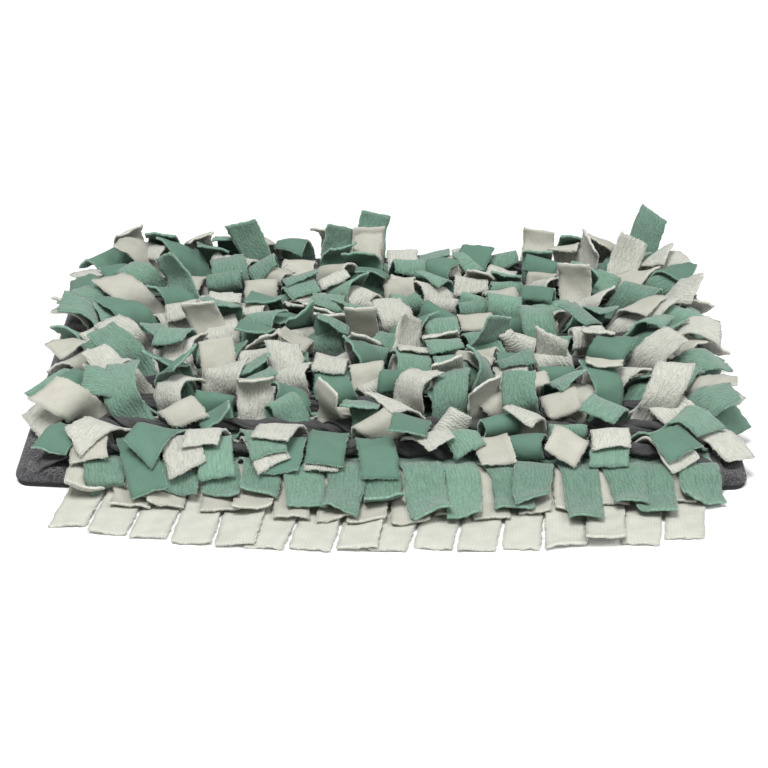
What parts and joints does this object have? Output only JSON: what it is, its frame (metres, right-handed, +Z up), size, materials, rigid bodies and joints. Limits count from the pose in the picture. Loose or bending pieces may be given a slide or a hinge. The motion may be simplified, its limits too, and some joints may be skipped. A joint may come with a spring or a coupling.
{
  "type": "snuffle mat",
  "caption": "Rectangular plush pad with rows of loose fleece tabs sewn down under twisted ropes, for hiding dry food in.",
  "frame": {"origin": "middle of the pad's flat underside, on the floor", "axes": "+X along the rows and the long side, -Y towards the front edge with the long fringe, +Z up"},
  "size_m": [0.7341, 0.6105, 0.0981],
  "materials": {
    "charcoal_plush": "short-pile charcoal plush over thin wadding",
    "charcoal_fleece": "charcoal fleece, gathered and twisted into ropes",
    "green_fleece": "sage green fleece, brushed on one face and smooth on the other",
    "cream_fleece": "off-white fleece, brushed on one face and smooth on the other"
  },
  "bodies": {
    "root": {"pad": "charcoal_plush", "front_fringe": "cream_fleece", "cream_comb_01": "cream_fleece", "green_comb_01": "green_fleece", "rope_01": "charcoal_fleece", "cream_comb_02": "cream_fleece", "green_comb_02": "green_fleece", "rope_02": "charcoal_fleece", "cream_comb_03": "cream_fleece", "green_comb_03": "green_fleece", "rope_03": "charcoal_fleece", "cream_comb_04": "cream_fleece", "green_comb_04": "green_fleece", "rope_04": "charcoal_fleece", "cream_comb_05": "cream_fleece", "green_comb_05": "green_fleece", "rope_05": "charcoal_fleece", "cream_comb_06": "cream_fleece", "green_comb_06": "green_fleece", "rope_06": "charcoal_fleece", "cream_comb_07": "cream_fleece", "green_comb_07": "green_fleece", "rope_07": "charcoal_fleece", "cream_comb_08": "cream_fleece", "green_comb_08": "green_fleece", "rope_08": "charcoal_fleece", "cream_comb_09": "cream_fleece", "green_comb_09": "green_fleece", "rope_09": "charcoal_fleece", "cream_comb_10": "cream_fleece", "green_comb_10": "green_fleece", "rope_10": "charcoal_fleece"}
  },
  "joints": []
}
